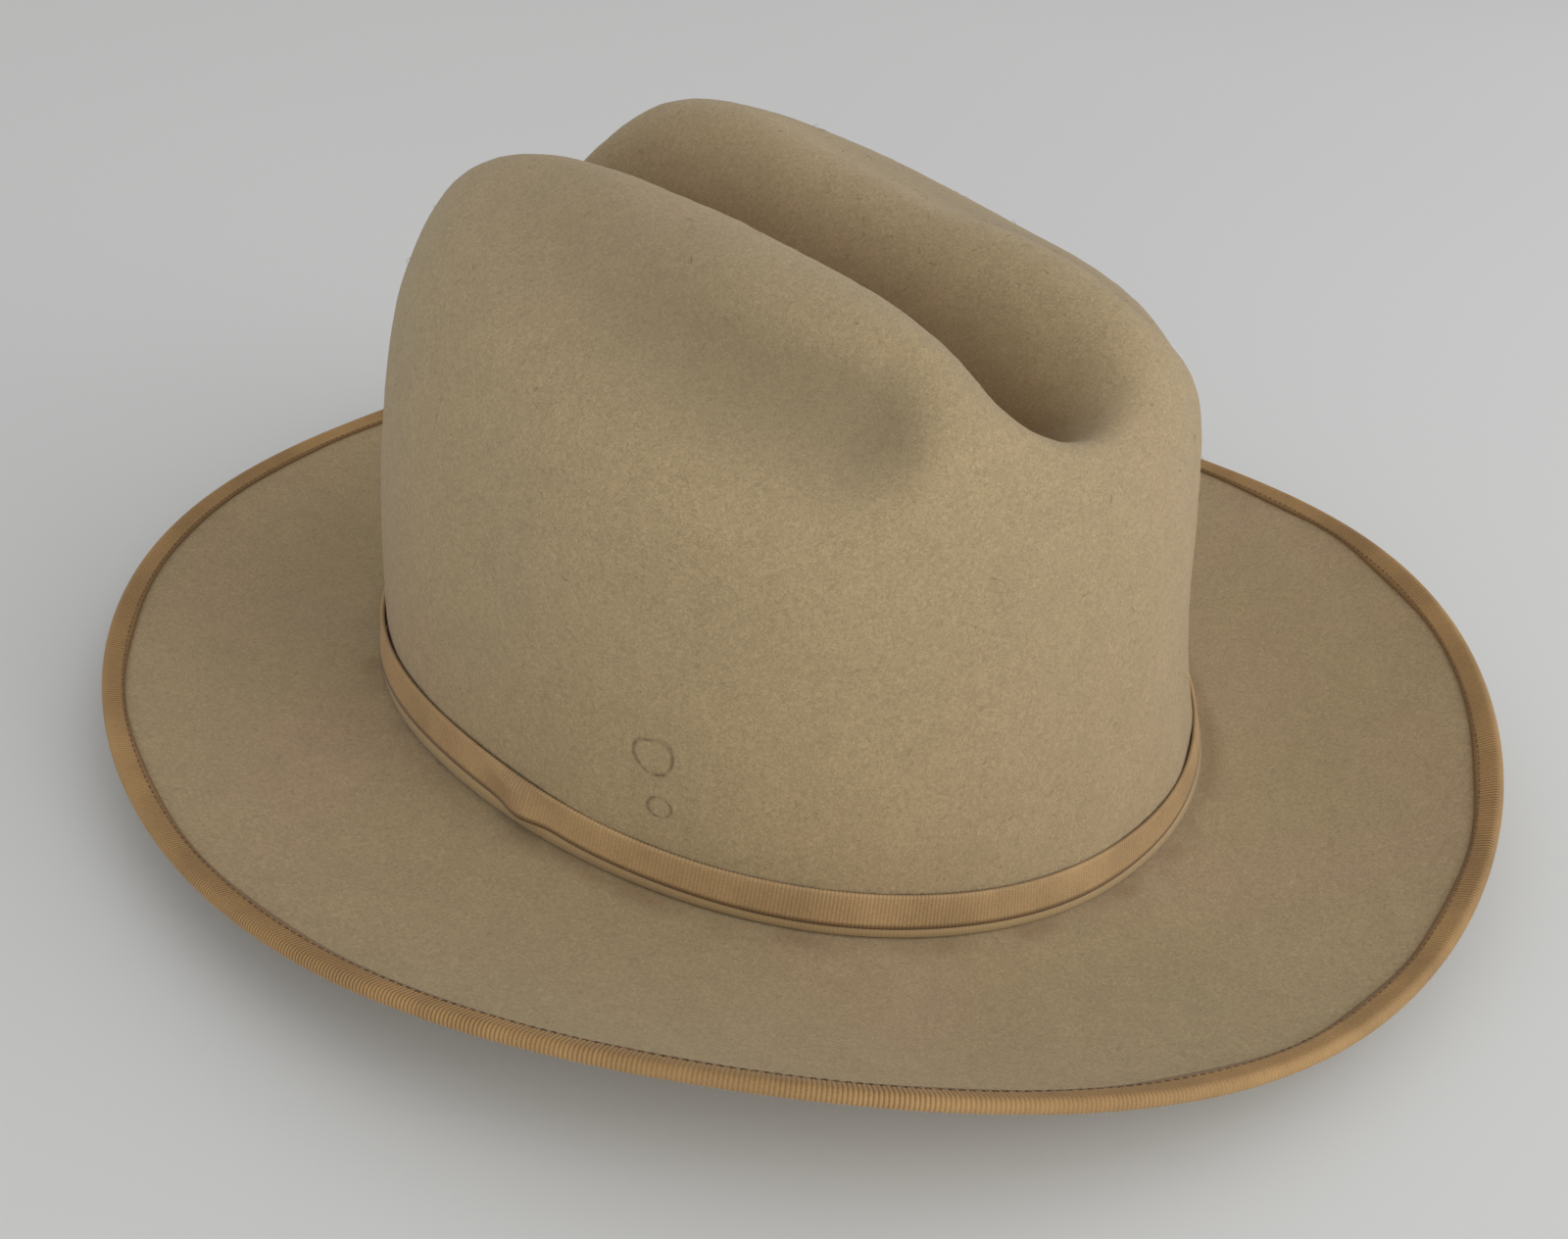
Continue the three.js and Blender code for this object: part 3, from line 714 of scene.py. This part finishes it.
def painted_shade_attributes(piece):
    """Vertex attributes for painted shade: on the brim beside the ribbon, in the centre crease and in the
    side dents.
    """
    count = len(piece.data.vertices)
    places = np.empty(count * 3)
    piece.data.vertices.foreach_get("co", places)
    places = places.reshape(-1, 3) / MM - shift
    angle = np.arctan2(-places[:, 0] / crown.half_width, -places[:, 1] / crown.half_length)
    oval_x, oval_y = base_oval(angle)
    beyond = np.hypot(places[:, 0], places[:, 1]) - np.hypot(oval_x, oval_y)
    outside_low = (places[:, 2] < 14) & (beyond > -1)
    # painted shade on the brim just beside the ribbon
    by_ribbon = np.where(outside_low, bell(beyond - 3.5, 2.6), 0)
    x, y, z = places.T
    layers = {
        "ribbon_shade": 0.4 * by_ribbon,
        # painted shade in the centre crease
        "crease_shade": 0.9 * np.where(z > lining.top, crease_share(x, y) ** 1.5, 0),
        # painted shade in the side dents
        "dent_shade": 0.5 * dent_share(x, y, z),
    }
    for name, shares in layers.items():
        layer = piece.data.attributes.new(name, "FLOAT", "POINT")
        layer.data.foreach_set("value", shares.astype(np.float32))


def stray_fibres():
    """Short hairs that stand off the brushed felt, and one tuft of them on the ridge."""
    chance = np.random.default_rng(17)
    spread_count, tuft_count = 260, 16
    tuft = np.array([-28, 30, 118])
    theta = chance.uniform(0, TURN, spread_count)
    climb = chance.uniform(0.1, 0.95, spread_count)
    fine_theta, fine_climb = np.meshgrid(np.radians(np.arange(60, 150, 0.5)), np.arange(0.6, 0.98, 0.004))
    nearest = np.argmin(np.linalg.norm(crown_point(fine_theta, fine_climb) - tuft, axis=-1))
    theta = np.append(theta, fine_theta.flat[nearest] + chance.normal(0, 0.012, tuft_count))
    climb = np.append(climb, fine_climb.flat[nearest] + chance.normal(0, 0.006, tuft_count))
    up = surface_normal(crown_point, theta, climb)
    lean = chance.normal(0, 0.5, up.shape)
    lean[spread_count:] += up[spread_count:] * 1.2
    along = unit(np.cross(up, chance.normal(size=up.shape)) + lean * 0.6)
    up = unit(up - along * (up * along).sum(-1, keepdims=True))
    roots = off_crown(theta, climb, 0.35)
    piece = stitches("felt_stray_fibres", roots, along, up, length=2.2, radius=0.045, sag=4)
    return dress(piece, fibre_look("felt_fibre", FELT_YELLOWISH, STAIN_BROWN, 600), "felt")


def felt_stains():
    """Dried drops on the felt: (place, radius and line width in metres, strength)."""
    # degrees round the hat, height over the break, radius and line width in mm, strength
    drops = (
        (68.0, 29.8, 3.9, 0.8, 0.7),
        (66.1, 19.1, 2.2, 0.7, 0.65),
        (-58, 40.0, 3.4, 0.6, 0.3),
        (170, 28.0, 3.8, 0.6, 0.25),
    )
    for degrees, height, radius, line, strength in drops:
        spot = to_row(wall_point(np.radians(degrees), height, 0.0))
        yield tuple(spot.tolist()), radius * MM, line * MM, strength


# ---- ribbons


def fold_path(outer, inner, low, top, leaf_low, rows):
    """(out, height) along a ribbon folded lengthways: up the outer leaf, over, down the inner one."""
    radius = (outer - inner) / 2
    over = np.linspace(0, TURN / 2, rows[1] + 2)[1:-1]
    outs = [np.full(rows[0], outer), inner + radius + radius * np.cos(over), np.full(rows[2], inner)]
    heights = [
        np.linspace(low, top - radius, rows[0]),
        top - radius + radius * np.sin(over),
        np.linspace(top - radius, leaf_low, rows[2]),
    ]
    return np.concatenate(outs), np.concatenate(heights)


def ring_length(ring):
    return np.linalg.norm(ring - np.roll(ring, 1, 0), axis=-1).sum()


def rib_count(line, closed=False):
    """How many grosgrain ribs fit along a line of points."""
    length = ring_length(line) if closed else np.linalg.norm(np.diff(line, axis=0), axis=-1).sum()
    return round(length / rib_pitch)


def crown_ribbon():
    """The folded band. It gapes and puckers near the wearer's right, where it was folded over.

    The numbers in path are heights and distances in mm, and angles round the hat in radians.
    """
    rows = (7, 5, 6)
    top = ribbon.top - ribbon_fold.below_top
    outs, heights = fold_path(ribbon_fold.outer, ribbon_fold.inner, ribbon.leaf_top, top, ribbon.low, rows)
    outer_leaf = np.concatenate([np.linspace(1, 0, rows[0]), np.zeros(rows[1] + rows[2])])[None, :]
    inner_leaf = np.concatenate([np.zeros(rows[0] + rows[1]), np.linspace(0, 1, rows[2])])[None, :]

    def path(theta):
        turn = turn_from(theta, ribbon_fold.theta)
        gape = 0.25 + 0.9 * bell(turn - 0.35, 0.42) + 0.15 * ripple(theta, 5, 3, 11)
        pucker = 1.4 * bell(turn - 0.04 + 0.05 * outer_leaf, 0.05) - 0.3 * bell(turn + 0.07, 0.05)
        slip = 0.125 * ripple(theta, 6, 2, 9)
        rise = 0.8 * bell(turn_from(theta, -0.5), 0.5) * outer_leaf**3
        shove = 1.6 * bell(turn - 0.25, 0.4) * (1 - inner_leaf)
        out = outs + outer_leaf**1.5 * np.maximum(gape, 0.05) + pucker * (outer_leaf > 0)
        out = out + (0.7 + gape * 0.5) * inner_leaf**3
        return wall_point(theta, heights + slip + rise + shove, out)

    ribs = rib_count(wall_point(round_angles(720), 6, 1), closed=True)
    piece = ring_strip(
        "crown_ribbon_folded", 4 * ribs, path, ribbon_fold.thin, ribs=ribs, rib_height=0.075, flare=0.3,
    )
    return dress(piece, ribbon_look, "ribbon", "crown_ribbon")


def brim_binding():
    """The ribbon folded over the brim's edge, pressed a little into the felt along its inner edges."""
    thin = binding.thickness * 0.8
    half = felt_thickness / 2 + GAP + thin / 2
    flat_rows = 4
    arc = np.linspace(0, TURN / 2, 9)[1:-1]
    top_run = np.linspace(-binding.width, 0, flat_rows)
    outs = np.concatenate([top_run, half * np.sin(arc) * 0.8, top_run[::-1]])
    ups = np.concatenate([np.full(flat_rows, half), half * np.cos(arc), np.full(flat_rows, -half)])
    row = np.abs(outs) * (outs < 0) / binding.width

    def path(theta):
        wander = 0.22 * ripple(theta, 8, 5, 24)
        press = -0.14 * row**2 + 0.06 * ripple(theta, 9, 9, 40)
        up = ups * (1 + press * 0.3) - felt_thickness / 2
        return edge_point(theta, outs + wander * row, up)

    ribs = rib_count(edge_point(round_angles(720), 0, 0), closed=True)
    piece = ring_strip("brim_binding_folded", 4 * ribs, path, thin, ribs=ribs, rib_height=0.08, flare=0.25)
    return dress(piece, binding_look, "binding", "brim_binding")


def stitch_row(name, points_at, up_at, pitch, length, radius):
    """Stitches a pitch apart along a closed line. points_at and up_at take theta."""
    fine = round_angles(1440)
    line = points_at(fine)
    steps = np.linalg.norm(np.roll(line, -1, 0) - line, axis=-1)
    run = np.concatenate([[0], np.cumsum(steps)])
    count = round(run[-1] / pitch)
    theta = np.interp(np.arange(count) * run[-1] / count, run, np.append(fine, TURN))
    centres = points_at(theta)
    step = 1e-3
    along = unit(points_at(theta + step) - points_at(theta - step))
    up = up_at(theta)
    chance = np.random.default_rng(11)
    slant = unit(along + np.cross(along, up) * chance.normal(0, 0.05, (count, 1)))
    return stitches(name, centres, slant, unit(up), length, radius)


def binding_stitching():
    lift = GAP + binding.thickness * 0.8 + 0.1

    def line(theta):
        return edge_point(theta, -binding.stitch_inset, lift)

    def up(theta):
        return -surface_normal(brim_point, theta, np.ones_like(theta))

    piece = stitch_row("binding_stitches", line, up, **vars(binding_thread))
    return dress(piece, thread_look, "thread", "binding_stitching")


# ---- the bow

bow_back = 2 * GAP + ribbon.thickness
tail_back = bow_back + bow.thickness + GAP
loop_back = tail_back + bow.thickness + GAP
loop_middle = loop_back + bow.loop_bulge + bow.thickness / 2
bow_front = loop_middle + bow.loop_bulge + bow.thickness / 2 + GAP


def bow_place(reach, height, out):
    """A point of the bow: reach runs along the ribbon from the bow's middle."""
    return wall_point(bow.theta + reach / crown.half_length, height, out)


def bow_ribbon(name, node, reach, out, closed, ends=None):
    """A ribbon standing on edge along (reach, out); ends(reach, share) can cut its two ends."""
    share = np.linspace(0, 1, 9)[None, :]
    height = bow.low + (bow.top - bow.low) * share
    reach = reach[:, None] + (ends(reach[:, None], share) if ends else 0 * share)
    sway = 0.12 * np.sin(reach * 0.5 + 3 * share)
    face = bow_place(reach, height, out[:, None] + sway)
    piece = strip(name, face, closed=closed, ribs=rib_count(face[:, 4]), **vars(bow_cloth))
    return dress(piece, ribbon_look, "ribbon", node)


def bow_tails():
    """The flat ends behind the bow, each cut to a shallow notch."""
    reach = np.linspace(-bow.tail_reach + 2.5, bow.tail_reach - 2.5, 330)
    middle = tail_back + bow.thickness / 2

    def notch(place, share):
        to_end = smoothstep(np.abs(place), bow.tail_reach - 8, bow.tail_reach)
        return np.sign(place) * to_end * 5.0 * (np.abs(share - 0.5) - 0.25)

    wavy = middle + 0.25 * np.sin(reach * 0.3)
    return bow_ribbon("bow_tail_ribbon", "bow_tails", reach, wavy, False, notch)


def bow_loop(name, node, side):
    """One loop of the bow, a flattened ring of ribbon on one side of the keeper."""
    turn = round_angles(208)
    half = (bow.loop_reach - GAP) / 2
    reach = side * (GAP + half) + (half - bow.thickness / 2) * np.cos(turn) * side
    out = loop_middle + bow.loop_bulge * np.sin(turn) * (0.75 + 0.25 * np.cos(turn))
    return bow_ribbon(name, node, reach, out, True)


def bow_keeper():
    """The short ribbon wrapped upright round the middle of the bow; its ribs run up and round."""
    turn = round_angles(96)
    power = 0.35
    middle_out, middle_height = (bow_back + bow_front) / 2, (bow.low + bow.top) / 2
    half_out, half_height = (bow_front - bow_back) / 2 + 0.2, (bow.top - bow.low) / 2 + GAP + 0.3
    out = middle_out + half_out * np.sign(np.cos(turn)) * np.abs(np.cos(turn)) ** power
    height = middle_height + half_height * np.sign(np.sin(turn)) * np.abs(np.sin(turn)) ** power
    across = np.linspace(-bow.keeper_width / 2, bow.keeper_width / 2, 13)[None, :]
    pinch = 1 - 0.1 * bell(across, 2.5)
    reach = across * (1 - 0.08 * np.cos(2 * turn)[:, None])
    face = bow_place(reach, height[:, None], out[:, None] * pinch)
    keeper_cloth = {**vars(bow_cloth), "rib_height": 0.06}
    piece = strip("bow_keeper_wrap", face, ribs=rib_count(face[:, 6]), **keeper_cloth)
    return dress(piece, ribbon_look, "ribbon", "bow_keeper")


# ---- inside the crown


def cad_middle(node):
    """The middle and half size of a CAD node's box, in the crown's frame."""
    low, high = (np.array(corner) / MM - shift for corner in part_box(node))
    return (low + high) / 2, (high - low) / 2


def thin_oval(name, face, thickness):
    """A thin solid over points [stop, reach] whose last column is all one middle point."""
    half = np.array([0, 0, thickness / 2])
    points = np.concatenate([face + half, (face - half)[:, ::-1]], axis=1)
    faces = grid_faces(*points.shape[:2], True, True)[0]
    return make_mesh(name, to_row(points), faces, merge=True)


def sweatband_depth(height):
    """How far inside the crown wall's outer face the leather's outer face lies."""
    stepped = sweatband.step * smoothstep(height, reed_fold.top, lining.low - 2)
    return sweatband.depth_at_reed + stepped + sweatband.lean * height


def sweatband_leather():
    heights = np.linspace(sweatband.low, sweatband.top, 36)
    roll = smoothstep(heights, sweatband.top - 1.5, sweatband.top)

    def path(theta):
        wavy = 0.18 * ripple(theta, 21, 2, 9) * smoothstep(heights, 10, sweatband.top)
        out = -sweatband_depth(heights) - sweatband.thickness / 2 + wavy - 0.2 * roll
        return wall_point(theta, heights, out)

    piece = ring_strip("sweatband_leather_band", 480, path, sweatband.thickness * 0.9)
    return dress(piece, leather, "sweatband_leather", "sweatband")


def sweatband_reed():
    centre = wall_point(round_angles(480), reed.height, -reed.depth)
    piece = tube("sweatband_reed_cord", centre, reed.radius, sides=12)
    return dress(piece, reed_look, "reed_plastic", "sweatband_reed")


def reed_tape():
    """The cloth that runs down one side of the reed, under it and up the other side."""
    middle = (reed_fold.inner + reed_fold.outer) / 2
    under = np.linspace(0, TURN / 2, 9)[1:-1]
    run = np.linspace(reed_fold.top, reed.height, 6)
    outs = np.concatenate([np.full(6, middle), middle * np.cos(under), np.full(6, -middle)]) - reed.depth
    heights = np.concatenate([run, reed.height - middle * np.sin(under), run[::-1]])

    def path(theta):
        return wall_point(theta, heights, outs)

    piece = ring_strip("reed_tape_fold", 960, path, 0.22)
    return dress(piece, tape_look, "tape_cloth", "reed_tape")


def sweatband_stitching():
    out = -reed.depth - reed_fold.outer - GAP - reed_fold.thread / 2 + 0.15
    height = reed_fold.top - 1.5 * reed_fold.thread

    def line(theta):
        return wall_point(theta, height, out)

    def up(theta):
        return -unit(wall_point(theta, height, 1.0) - wall_point(theta, height, 0.0))

    piece = stitch_row("sweatband_stitches", line, up, **vars(sweatband_thread))
    return dress(piece, thread_look, "thread", "sweatband_stitching")


def sweatband_seam_tape():
    low, top = reed_fold.top + 2, sweatband.top - 1
    heights = np.linspace(low, top, 30)[None, :]
    reach = np.linspace(-5.6, 5.6, 25)[:, None]
    out = -sweatband_depth(heights) - sweatband.thickness - GAP - 0.25 - 0.1 * bell(reach, 1.2)
    low_out = -sweatband_depth(lining.low) - sweatband.thickness - GAP
    face = wall_point(back_theta + reach / crown.half_length, heights, np.minimum(out, low_out - 0.2))
    piece = strip("sweatband_seam_cover", face, 0.4, closed=False)
    return dress(piece, leather, "sweatband_leather", "sweatband_seam_tape")


def sweatband_bow():
    """A tiny ribbon bow, flat against the band's seam, pinched at its middle."""
    middle, half = cad_middle("sweatband_bow")
    run = np.linspace(-1, 1, 81)[:, None]
    share = np.linspace(-1, 1, 11)[None, :]
    tall = half[2] * (0.42 + 0.58 * smoothstep(np.abs(run), 0.08, 0.95))
    ripple_out = 0.22 * np.sin(share * 7) * (1 - np.abs(run)) - 0.5 * bell(run, 0.12)
    along = middle[0] + half[0] * run + 0 * share
    face = np.stack([along, middle[1] + ripple_out, middle[2] + tall * share], axis=-1)
    piece = strip("sweatband_marker_bow", face, 0.3, closed=False, ribs=26, rib_height=0.05, flare=0.3)
    return dress(piece, ribbon_look, "ribbon", "sweatband_bow")


def size_tag():
    """A blank paper label that curls a little off the lining."""
    out = -lining.depth - lining.thickness - 3 * GAP
    reach = np.linspace(-9, 9, 25)[:, None]
    heights = np.linspace(30, 56, 19)[None, :]
    curl = 0.12 * (reach / 9) ** 2
    turn = math.radians(150) + reach / crown.half_length
    piece = strip("size_label", wall_point(turn, heights, out - curl + 0.12), 0.14, closed=False)
    return dress(piece, paper_look, "paper", "size_tag")


def lining_wall():
    """The satin strip round the inside of the crown, gathered towards its top."""
    heights = np.linspace(lining.low, lining.top, 40)
    gathers = smoothstep(heights, lining.top - 22, lining.top)

    def path(theta):
        fold = 0.35 * ripple(theta, 31, 24, 70) * gathers + 0.12 * ripple(theta, 32, 4, 14)
        return wall_point(theta, heights, -lining.depth - lining.thickness / 2 + fold)

    piece = ring_strip("lining_side", 1440, path, lining.thickness * 0.5)
    dress(piece, satin, "satin", "lining_wall")
    length = ring_length(wall_point(round_angles(720), lining.low, -lining.depth)) * MM
    return piece


def lining_tip():
    """The lining's oval top, a shallow dome with soft folds running in from its rim."""
    theta = round_angles(480)[:, None]
    rim = wall_point(theta, lining.top + 3 * GAP, -lining.depth)
    reach = np.concatenate([np.linspace(1, 0.04, 48), [0.0]])[None, :]
    peak = lining.top + lining.dome_rise
    folds = 0.7 * ripple(theta, 33, 9, 34) * smoothstep(reach, 0.25, 0.8) * (1 - smoothstep(reach, 0.9, 1))
    z = peak + (rim[..., 2] - peak) * reach**2 - lining.thickness / 2 + folds
    face = np.stack([rim[..., 0] * reach, rim[..., 1] * reach, z], axis=-1)
    piece = thin_oval("lining_top", face, lining.thickness / 2)
    dress(piece, satin, "satin", "lining_tip")
    return piece


def lining_gimp():
    """A braided cord over the seam between the lining's side and top."""
    out = -lining.depth - lining.thickness - 2 * GAP - 0.4
    centre = wall_point(round_angles(2400), lining.top - 1.6, out)

    def braid(stop, angle):
        return 0.09 * np.cos(stop * TURN / 12 + angle * 2) * np.cos(stop * TURN / 12 - angle * 2)

    piece = tube("lining_cord", centre, 0.34, sides=10, pattern=braid)
    return dress(piece, cord_look, "satin", "lining_gimp")


def tip_shield():
    """A thin clear oval sheet with a faint ripple."""
    middle, half = cad_middle("lining_tip_shield")
    theta = round_angles(180)[:, None]
    reach = np.concatenate([np.linspace(1, 0.05, 24), [0.0]])[None, :]
    x = middle[0] + half[0] * np.sin(theta) * reach
    y = middle[1] + half[1] * np.cos(theta) * reach
    z = middle[2] + 0.25 * ripple(theta, 41, 3, 8) * reach**2
    face = np.stack([x, y, z + 0 * x], axis=-1)
    piece = thin_oval("lining_clear_oval", face, 0.16)
    return dress(piece, clear_look(), "clear_sheet", "lining_tip_shield")


# ---- stage

LAMP_DISTANCE = 1.8
HAT_MIDDLE = 0.06
WARM_WHITE = (1.0, 0.985, 0.96)
SOFT_WHITE = (1.0, 0.99, 0.97)
PLAIN_WHITE = (1.0, 1.0, 1.0)


def floor():
    """A wide pale sheet of paper under the hat."""
    size = 6.0
    corners = np.array([[-size, -size, 0], [size, -size, 0], [size, size, 0], [-size, size, 0]])
    plane = make_mesh("floor", corners, np.array([[0, 1, 2, 3]]))
    look = Look("floor_paper", 0.85, Specular_IOR_Level=0.2)
    cloudy = look.spread(look.noise(0.9, 2.0), 0.3, 0.7)
    look.colour(look.blend(cloudy, srgb(213, 215, 217), srgb(217, 219, 220)))
    plane.data.materials.append(look.material)


def area_light(name, direction, size, power, colour):
    """A round soft lamp in a direction from the hat, facing it."""
    light = bpy.data.lights.new(name, "AREA")
    light.shape, light.size, light.energy, light.color = "DISK", size, power, colour
    lamp = add_object(name, light)
    away = Vector(direction).normalized()
    lamp.location = away * LAMP_DISTANCE + Vector((0, 0, HAT_MIDDLE))
    lamp.rotation_mode = "QUATERNION"
    lamp.rotation_quaternion = away.to_track_quat("Z", "Y")


def lights():
    """A bright even room, and five soft lamps on the side of the camera."""
    world = bpy.data.worlds.new("studio")
    world.use_nodes = True
    background = world.node_tree.nodes["Background"]
    background.inputs["Color"].default_value = (1.0, 0.985, 0.955, 1.0)
    background.inputs["Strength"].default_value = 0.58
    bpy.context.scene.world = world
    area_light("front", (0.3, -0.95, 0.3), 1.3, 8.5, WARM_WHITE)
    area_light("key", (0.1, -0.7, 0.8), 1.3, 3.0, WARM_WHITE)
    area_light("corner", (-0.64, -0.56, 0.18), 1.0, 5.4, SOFT_WHITE)
    area_light("right", (0.85, -0.45, 0.5), 1.3, 4.4, PLAIN_WHITE)
    area_light("left", (-0.9, -0.35, 0.18), 1.0, 2.4, PLAIN_WHITE)


def camera():
    """A camera at the front quarter on the wearer's right, looking down and a little rolled."""
    azimuth, elevation, roll = (math.radians(angle) for angle in (-48.9, 31.4, 5.4))
    distance, lens = 414.9, 39.4
    target = Vector(to_row([-0.8, 2.3, 10.9]))
    back = Vector((
        math.sin(azimuth) * math.cos(elevation),
        -math.cos(azimuth) * math.cos(elevation),
        math.sin(elevation),
    ))
    right = Vector((0, 0, 1)).cross(back).normalized()
    up = back.cross(right)
    tilted_right = right * math.cos(roll) + up * math.sin(roll)
    tilted_up = up * math.cos(roll) - right * math.sin(roll)
    data = bpy.data.cameras.new("camera")
    data.lens, data.sensor_width, data.sensor_fit = lens, 36, "HORIZONTAL"
    data.clip_start, data.clip_end = 0.01, 50
    view = add_object("camera", data)
    turned = Matrix((tilted_right, tilted_up, back)).transposed().to_4x4()
    view.matrix_world = Matrix.Translation(target + back * (distance * MM)) @ turned
    bpy.context.scene.camera = view


# ---- everything

ribbon_look = grosgrain_look(
    "ribbon_grosgrain", srgb(180, 150, 109), srgb(116, 86, 54), srgb(98, 70, 40), step=srgb(190, 165, 124),
)
binding_look = grosgrain_look("binding_grosgrain", srgb(168, 134, 88), srgb(98, 68, 36), srgb(122, 92, 56))
thread_look = fibre_look("brown_thread", srgb(126, 98, 64), srgb(88, 64, 40), 900)
leather = leather_look()
satin = satin_look()
cord_look = fibre_look("satin_cord", SATIN_IVORY, srgb(150, 132, 96), 1400, 0.5)
tape_look = fibre_look("cotton_tape", srgb(150, 138, 110), srgb(110, 98, 72), 1200)
reed_look = fibre_look("reed_plastic", srgb(186, 178, 156), srgb(166, 158, 136), 200, 0.45)
paper_look = fibre_look("label_paper", srgb(216, 209, 190), srgb(200, 192, 170), 500, 0.9)

camera()
felt_body()
stray_fibres()
brim_binding()
binding_stitching()
crown_ribbon()
bow_tails()
bow_loop("bow_front_loop", "bow_loop_front", 1)
bow_loop("bow_back_loop", "bow_loop_back", -1)
bow_keeper()
sweatband_leather()
sweatband_reed()
reed_tape()
sweatband_stitching()
sweatband_seam_tape()
sweatband_bow()
size_tag()
lining_wall()
lining_tip()
lining_gimp()
tip_shield()
floor()
lights()

bpy.context.scene.view_settings.view_transform = "Standard"
